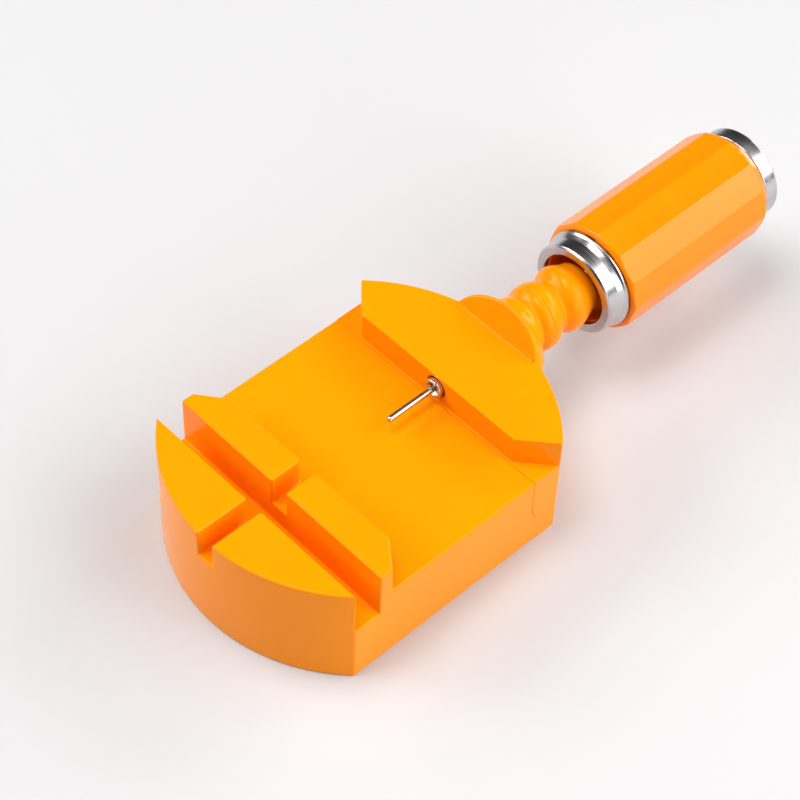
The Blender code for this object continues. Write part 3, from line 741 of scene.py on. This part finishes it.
def grip_outside():
    """The turned limit from front to back: a round shoulder, the flats, and a slow taper."""
    rise = GRIP_LIMIT - GRIP_FRONT_RIM
    points = []
    for i in range(1, GRIP_SHOULDER_STEPS + 1):
        turn = math.radians(90 * i / GRIP_SHOULDER_STEPS)
        along = GRIP_FRONT + GRIP_SHOULDER * (1 - math.cos(turn))
        points.append((along, GRIP_FRONT_RIM + rise * math.sin(turn)))
    length = GRIP_BACK - GRIP_TAPER - GRIP_FLAT_START
    for i in range(1, GRIP_FLAT_STEPS):
        points.append((GRIP_FLAT_START + length * i / GRIP_FLAT_STEPS, GRIP_LIMIT))
    for i in range(GRIP_TAPER_STEPS):
        share = i / GRIP_TAPER_STEPS
        drop = (GRIP_LIMIT - GRIP_TAPER_RIM) * share
        points.append((GRIP_BACK - GRIP_TAPER + GRIP_TAPER * share, GRIP_LIMIT - drop))
    return points


def build_grip():
    profile = [
        (GRIP_START, GRIP_BORE, 0.2),
        (GRIP_START, FERRULE_SEAT, 0.2),
        (GRIP_FRONT, FERRULE_SEAT),
        (GRIP_FRONT, GRIP_FRONT_RIM),
        *grip_outside(),
        (GRIP_BACK, GRIP_BACK_RIM, 0.25),
        (GRIP_BACK, STORE_BORE, 0.3),
        (STORE_MIDDLE, STORE_BORE),
        (WEB[1], STORE_BORE, 0.4),
        (WEB[1], WEB_HOLE, 0.2),
        (WEB[0], WEB_HOLE, 0.2),
        (WEB[0], GRIP_BORE, 0.4),
        (BORE_MIDDLE, GRIP_BORE),
    ]
    return shade(turned("grip_sleeve", profile, shape=GripSection()), angle=GRIP_SHARP)


def build_ferrule():
    front, back = FERRULE
    profile = (
        (front, FERRULE_BORE, 0.18),
        (front, FERRULE_FACE, 0.06),
        (FERRULE_BARREL[0], FERRULE_BARREL_RADII[0], 0.12),
        (FERRULE_BARREL[1], FERRULE_BARREL_RADII[1], 0.5),
        (*FERRULE_FLARE, 0.5),
        (*FERRULE_LIP, 0.12),
        (back, FERRULE_LIP[1], 0.12),
        (back, FERRULE_STEP_BORE),
        (FERRULE_STEP, FERRULE_STEP_BORE),
        (FERRULE_STEP, FERRULE_BORE, 0.1),
    )
    return shade(turned("ferrule_ring", profile))


def build_cap():
    profile = (
        (CAP_FLOOR, 0),
        (CAP_FLOOR, CAP_BORE, 0.4),
        (CAP_SPIGOT_START, CAP_BORE, 0.15),
        (CAP_SPIGOT_START, CAP_SPIGOT, 0.4),
        (CAP_RIM[0], CAP_SPIGOT),
        (CAP_RIM[0], CAP_RADIUS, 0.2),
        (CAP_RIM[1], CAP_RADIUS, 0.3),
        (CAP_END, CAP_FACE, 0.3),
        (CAP_END, CAP_FACE_MIDDLE),
        (CAP_END, 0),
    )
    return shade(turned("cap_cup", profile, closed=False))


def build_holder():
    """A sleeve with a web near its mouth, which keeps the pin's head inside."""
    front, back = HOLDER
    profile = (
        (front, HOLDER_MOUTH, 0.1),
        (front, HOLDER_RADIUS, 0.18),
        (back, HOLDER_RADIUS, 0.15),
        (back, HOLDER_BORE, 0.05),
        (HOLDER_WEB[1], HOLDER_BORE),
        (HOLDER_WEB[1], HOLDER_HOLE),
        (HOLDER_WEB[0], HOLDER_HOLE, 0.08),
    )
    return shade(turned("holder_sleeve", profile, SMALL_TURN_STEPS))


def pin_profile(head_end):
    tip = head_end - PIN_LENGTH
    head_start = head_end - PIN_HEAD_LENGTH
    return (
        (tip, 0),
        (tip, PIN_TIP_RADIUS, PIN_EDGE),
        (tip + PIN_TIP_LENGTH, PIN_RADIUS, PIN_EDGE),
        (head_start, PIN_RADIUS, PIN_EDGE),
        (head_start, PIN_HEAD_RADIUS, PIN_EDGE),
        (head_end, PIN_HEAD_RADIUS, 0.15),
        (head_end, 0),
    )


def build_pin():
    return shade(turned("pin_needle", pin_profile(PIN_END), THIN_TURN_STEPS, closed=False))


def build_spare_pin(number):
    """A spare lies where the CAD spare lies."""
    low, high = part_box(f"spare_pin_{number}")
    profile = pin_profile(high.x / MM)
    pin = shade(turned(f"spare_needle_{number}", profile, SPARE_TURN_STEPS, closed=False))
    pin.location.y = (low.y + high.y) / 2
    pin.location.z = (low.z + high.z) / 2
    return pin


def thread_form(low, high, steps):
    """A right-hand threaded bar about the axis, its ends ragged: a trim cuts them square."""
    section = THREAD_SECTION
    per_turn = len(section)
    turns = math.ceil((high - low) / PITCH)
    mesh_data = bmesh.new()

    def point(column, j):
        share, radius = section[j % per_turn]
        x = low + PITCH * (j // per_turn + share + column / steps)
        turn = 2 * math.pi * column / steps
        return mesh_data.verts.new((x, radius * math.cos(turn), radius * math.sin(turn)))

    columns = [[point(i, j) for j in range(turns * per_turn + 1)] for i in range(steps)]
    extra = [point(steps, j) for j in range((turns - 1) * per_turn + 1, turns * per_turn + 1)]
    first = columns[0]
    columns.append((first + extra)[per_turn:])
    for left, right in zip(columns, columns[1:]):
        for j in range(len(left) - 1):
            mesh_data.faces.new((left[j], right[j], right[j + 1], left[j + 1]))
    low_edge = [column[0] for column in columns] + first[per_turn - 1 : 0 : -1]
    high_edge = [column[-1] for column in columns] + extra[-2::-1] + [first[-1]]
    for edge, x in ((low_edge, low), (high_edge, low + PITCH * (turns + 1))):
        tip = mesh_data.verts.new((x, 0, 0))
        loop = list(dict.fromkeys(edge))
        for i, vertex in enumerate(loop):
            mesh_data.faces.new((vertex, loop[(i + 1) % len(loop)], tip))
    return add_object("thread", mesh_data, on_axis=True)


def build_spindle():
    """A plain turned bar, necked down where the thread is laid on."""
    start, end = THREAD
    half = PITCH / 2
    profile = (
        (SPIGOT[0], 0),
        (SPIGOT[0], SPIGOT_RADIUS, 0.2),
        (SPIGOT[1], SPIGOT_RADIUS),
        (SPIGOT[1], ROD, 0.15),
        (start, ROD, 0.1),
        (start + half, CORE),
        (end - half, CORE),
        (end, ROD, 0.1),
        (SPINDLE_END - half, ROD, 0.1),
        (SPINDLE_END, CORE),
        (SPINDLE_END, 0),
    )
    spindle = turned("spindle_screw", profile, THIN_TURN_STEPS, closed=False)
    thread = thread_form(start - PITCH, end, THREAD_STEPS)
    reach = CREST + TRIM_CLEARANCE
    low, high = start - half / 2, end + half / 2
    trim_profile = ((low, 0), (low, reach), (high, reach), (high, 0))
    trim = turned("trim", trim_profile, THIN_TURN_STEPS, closed=False)
    combine(thread, "INTERSECT", trim)
    combine(spindle, "UNION", thread)
    return shade(spindle, weighted=False)


# ---------------------------------------------------------------- materials


class Nodes:
    """A short way to write a node tree."""

    def __init__(self, name):
        self.material = bpy.data.materials.new(name)
        self.material.use_nodes = True
        self.tree = self.material.node_tree
        self.shader = self.tree.nodes["Principled BSDF"]
        self.place = self.tree.nodes.new("ShaderNodeTexCoord").outputs["Object"]

    def node(self, kind, inputs=(), **settings):
        made = self.tree.nodes.new(kind)
        for key, value in settings.items():
            setattr(made, key, value)
        for socket, value in dict(inputs).items():
            self.feed(made.inputs[socket], value)
        return made

    def feed(self, socket, value):
        if isinstance(value, bpy.types.NodeSocket):
            self.tree.links.new(value, socket)
        else:
            socket.default_value = value

    def set(self, **values):
        for name, value in values.items():
            self.feed(self.shader.inputs[name.replace("_", " ").title()], value)

    def noise(self, scale, detail=2.0, vector=None, roughness=0.5):
        inputs = {"Scale": scale, "Detail": detail, "Roughness": roughness, "Vector": vector or self.place}
        return self.node("ShaderNodeTexNoise", inputs).outputs["Fac"]

    def spread(self, value, low, high, from_low=0.3, from_high=0.7):
        inputs = {0: value, 1: from_low, 2: from_high, 3: low, 4: high}
        return self.node("ShaderNodeMapRange", inputs).outputs[0]

    def math(self, operation, a, b=0.0):
        return self.node("ShaderNodeMath", {0: a, 1: b}, operation=operation).outputs[0]

    def mix(self, factor, a, b):
        made = self.node("ShaderNodeMix", data_type="RGBA")
        self.feed(made.inputs["Factor"], factor)
        self.feed(made.inputs[6], (*a, 1.0) if isinstance(a, tuple) else a)
        self.feed(made.inputs[7], (*b, 1.0) if isinstance(b, tuple) else b)
        return made.outputs[2]

    def bump(self, height, distance, strength=1.0, normal=None):
        inputs = {"Height": height, "Distance": distance, "Strength": strength}
        if normal:
            inputs["Normal"] = normal
        return self.node("ShaderNodeBump", inputs).outputs["Normal"]

    def round_the_axis(self, along, outward, around):
        """Coordinates (x, radius, turn), each with its own scale, for marks left by turning."""
        parts = self.node("ShaderNodeSeparateXYZ", {0: self.place}).outputs
        squares = self.math("ADD", self.math("POWER", parts[1], 2.0), self.math("POWER", parts[2], 2.0))
        radius = self.math("SQRT", squares)
        turn = self.math("ARCTAN2", parts[1], parts[2])
        scaled = [
            self.math("MULTIPLY", value, scale)
            for value, scale in ((parts[0], along), (radius, outward), (turn, around))
        ]
        return self.node("ShaderNodeCombineXYZ", dict(enumerate(scaled))).outputs[0]


PLASTIC_IOR = 1.33
SKIN_DEPTH = 0.000001
WAVE_DEPTH = 0.000008
PIT_DEPTH = 0.00001
SUBSURFACE_SCALE = 0.0012
SUBSURFACE_RADIUS = (1.0, 0.35, 0.05)
FLOOR_DARK = (0.53, 0.524, 0.53)
FLOOR_LIGHT = (0.545, 0.539, 0.545)


def plastic(name, light, deep, roughness, subsurface, gloss, tint):
    """Glossy moulded plastic: slight drift in colour, faint flow marks and a fine orange-peel skin."""
    n = Nodes(name)
    drift = n.noise(55.0, 3.0)
    speck = n.noise(420.0, 2.0)
    tone = n.math("ADD", n.math("MULTIPLY", drift, 0.75), n.math("MULTIPLY", speck, 0.25))
    n.set(base_color=n.mix(n.spread(tone, 0.0, 1.0), deep, light))
    haze = n.noise(160.0, 4.0)
    n.set(roughness=n.spread(haze, roughness - 0.05, roughness + 0.06))
    skin_height = n.noise(900.0, 2.0)
    wave_height = n.noise(90.0, 1.0)
    fine = n.bump(skin_height, SKIN_DEPTH, 0.5)
    n.set(normal=n.bump(wave_height, WAVE_DEPTH, 0.5, fine))
    n.set(subsurface_weight=subsurface, subsurface_scale=SUBSURFACE_SCALE)
    n.shader.inputs["Subsurface Radius"].default_value = SUBSURFACE_RADIUS
    n.shader.inputs["IOR"].default_value = PLASTIC_IOR
    n.shader.inputs["Specular IOR Level"].default_value = gloss
    n.shader.inputs["Specular Tint"].default_value = (*tint, 1.0)
    return n.material


def turned_metal(name, light, dark, roughness, ring_depth, rings=9000.0):
    """Turned or brushed metal: fine rings about the axis, with faint smudges."""
    n = Nodes(name)
    ring = n.noise(1.0, 3.0, n.round_the_axis(rings, rings, 1.5))
    broad = n.noise(1.0, 2.0, n.round_the_axis(rings / 7, rings / 7, 0.8))
    smudge = n.noise(140.0, 3.0)
    tone = n.math("ADD", n.math("MULTIPLY", ring, 0.5), n.math("MULTIPLY", smudge, 0.5))
    n.set(base_color=n.mix(n.spread(tone, 0.0, 1.0), dark, light), metallic=1.0)
    grain = n.math("ADD", n.math("MULTIPLY", broad, 0.5), n.math("MULTIPLY", smudge, 0.5))
    n.set(roughness=n.spread(grain, roughness - 0.05, roughness + 0.08))
    n.set(normal=n.bump(ring, ring_depth, 0.6))
    return n.material


def plated_metal(name, light, dark, roughness):
    """Zinc plate or machined brass: mottled tone, uneven gloss and tiny pits."""
    n = Nodes(name)
    mottle = n.noise(700.0, 4.0)
    n.set(base_color=n.mix(n.spread(mottle, 0.0, 1.0), dark, light), metallic=1.0)
    n.set(roughness=n.spread(n.noise(1500.0, 3.0), roughness - 0.06, roughness + 0.1))
    n.set(normal=n.bump(n.noise(3000.0, 2.0), PIT_DEPTH, 0.5))
    return n.material


def floor_material():
    n = Nodes("studio_floor")
    drift = n.noise(3.0, 2.0)
    n.set(base_color=n.mix(n.spread(drift, 0.0, 1.0), FLOOR_DARK, FLOOR_LIGHT))
    n.set(roughness=0.7, normal=n.bump(n.noise(900.0, 2.0), PIT_DEPTH, 0.3))
    return n.material


# ---------------------------------------------------------------- stage, camera, light

CAMERA_AT = Vector((-184.72, -192.73, 353.55)) * MM
CAMERA_AZIMUTH = math.radians(-45.26)
CAMERA_ELEVATION = math.radians(50.24)
CAMERA_ROLL = math.radians(2.64)
CAMERA_LENS = 107.94
CAMERA_SENSOR = 36.0
CAMERA_CLIP = 0.01
FLOOR_HALF = 2500.0

WORLD = (0.03, 0.03, 0.032)
AIM = Vector((20.0, 0.0, 15.0)) * MM
LIGHT_DISTANCE = 1.2
# Soft boxes: azimuth and elevation in degrees, seen from AIM, then width, height and power.
LIGHTS = {
    "softbox_front_right": (-55, 33, 0.85, 0.85, 8.0),
    "fill_front_right": (-30, 30, 0.7, 0.5, 1.7),
    "fill_front": (-80, 30, 0.7, 0.5, 2.8),
    "fill_right": (-5, 28, 0.7, 0.5, 6.0),
    "low_front": (-90, 12, 0.9, 0.35, 4.2),
    "fill_back": (115, 32, 0.8, 0.5, 5.6),
    "fill_back_left": (140, 30, 0.8, 0.5, 6.8),
    "key_back_left": (135, 76, 0.6, 0.5, 8.5),
    "high_front": (300, 60, 0.6, 0.4, 1.8),
}


def build_floor():
    mesh_data = bmesh.new()
    bmesh.ops.create_grid(mesh_data, x_segments=8, y_segments=8, size=FLOOR_HALF)
    floor = add_object("studio_floor", mesh_data)
    floor.data.materials.append(floor_material())


def build_camera():
    az, el, roll = CAMERA_AZIMUTH, CAMERA_ELEVATION, CAMERA_ROLL
    forward = Vector((-math.sin(az) * math.cos(el), math.cos(az) * math.cos(el), -math.sin(el)))
    right = Vector((math.cos(az), math.sin(az), 0.0))
    up = right.cross(forward)
    turned_right = math.cos(roll) * right + math.sin(roll) * up
    turned_up = -math.sin(roll) * right + math.cos(roll) * up
    data = bpy.data.cameras.new("camera")
    data.lens = CAMERA_LENS
    data.sensor_width = CAMERA_SENSOR
    data.clip_start = CAMERA_CLIP
    made = bpy.data.objects.new("camera", data)
    axes = Matrix((turned_right, turned_up, -forward)).transposed()
    made.matrix_world = Matrix.Translation(CAMERA_AT) @ axes.to_4x4()
    bpy.context.scene.collection.objects.link(made)
    bpy.context.scene.camera = made


def build_light(name, azimuth, elevation, width, height, power):
    az, el = math.radians(azimuth), math.radians(elevation)
    way = Vector((math.cos(az) * math.cos(el), math.sin(az) * math.cos(el), math.sin(el)))
    data = bpy.data.lights.new(name, "AREA")
    data.shape = "RECTANGLE"
    data.size = width
    data.size_y = height
    data.energy = power
    made = bpy.data.objects.new(name, data)
    made.location = AIM + way * LIGHT_DISTANCE
    made.rotation_euler = (-way).to_track_quat("-Z", "Y").to_euler()
    bpy.context.scene.collection.objects.link(made)


def build_world():
    world = bpy.data.worlds.new("studio")
    world.use_nodes = True
    world.node_tree.nodes["Background"].inputs["Color"].default_value = (*WORLD, 1.0)
    bpy.context.scene.world = world


# ---------------------------------------------------------------- main

orange = plastic(
    "orange_plastic_fine",
    light=(0.94, 0.272, 0.001),
    deep=(0.92, 0.258, 0.0008),
    roughness=0.18,
    subsurface=0.1,
    gloss=0.45,
    tint=(1.0, 0.75, 0.3),
)
grip_orange = plastic(
    "grip_plastic_fine",
    light=(0.94, 0.235, 0.001),
    deep=(0.92, 0.222, 0.0008),
    roughness=0.17,
    subsurface=0.06,
    gloss=0.62,
    tint=(1.0, 0.92, 0.72),
)
steel = turned_metal(
    "bright_steel_fine",
    light=(0.68, 0.65, 0.66),
    dark=(0.52, 0.49, 0.50),
    roughness=0.24,
    ring_depth=0.0000008,
)
pin_steel = turned_metal(
    "pin_steel_fine",
    light=(0.60, 0.51, 0.38),
    dark=(0.45, 0.38, 0.28),
    roughness=0.26,
    ring_depth=0.0000005,
)
zinc = plated_metal("zinc_steel_fine", light=(0.68, 0.69, 0.70), dark=(0.50, 0.51, 0.54), roughness=0.32)
brass = plated_metal("brass_fine", light=(0.84, 0.62, 0.26), dark=(0.66, 0.45, 0.16), roughness=0.3)

PIECES = (
    (build_base(), "base_body", "base", "orange_plastic", orange),
    (build_head(), "spindle_head", "base", "orange_plastic", orange),
    (build_joint_screw("front"), "joint_screw_front", "base", "zinc_steel", zinc),
    (build_joint_screw("rear"), "joint_screw_rear", "base", "zinc_steel", zinc),
    (build_pin(), "push_pin", "pin_carriage", "pin_steel", pin_steel),
    (build_holder(), "pin_holder", "handle", "bright_steel", steel),
    (build_spindle(), "spindle", "handle", "zinc_steel", zinc),
    (build_grip(), "grip", "handle", "grip_plastic", grip_orange),
    (build_ferrule(), "front_ferrule", "handle", "bright_steel", steel),
    (build_spare_pin(1), "spare_pin_1", "handle", "pin_steel", pin_steel),
    (build_spare_pin(2), "spare_pin_2", "handle", "pin_steel", pin_steel),
    (build_spare_pin(3), "spare_pin_3", "handle", "pin_steel", pin_steel),
    (build_cap(), "end_cap", "cap", "bright_steel", steel),
)
for piece, node, body, slot, material in PIECES:
    piece.data.materials.clear()
    piece.data.materials.append(material)
    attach(piece, body)
    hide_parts(node)

for node, material in (
    ("thread_bush", brass),
    ("front_nut", zinc),
    ("lock_washer", zinc),
    ("lock_nut", zinc),
):
    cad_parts[node].data.materials.clear()
    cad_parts[node].data.materials.append(material)

build_floor()
build_camera()
build_world()
for light_name, settings in LIGHTS.items():
    build_light(light_name, *settings)
bpy.context.scene.view_settings.view_transform = "Standard"
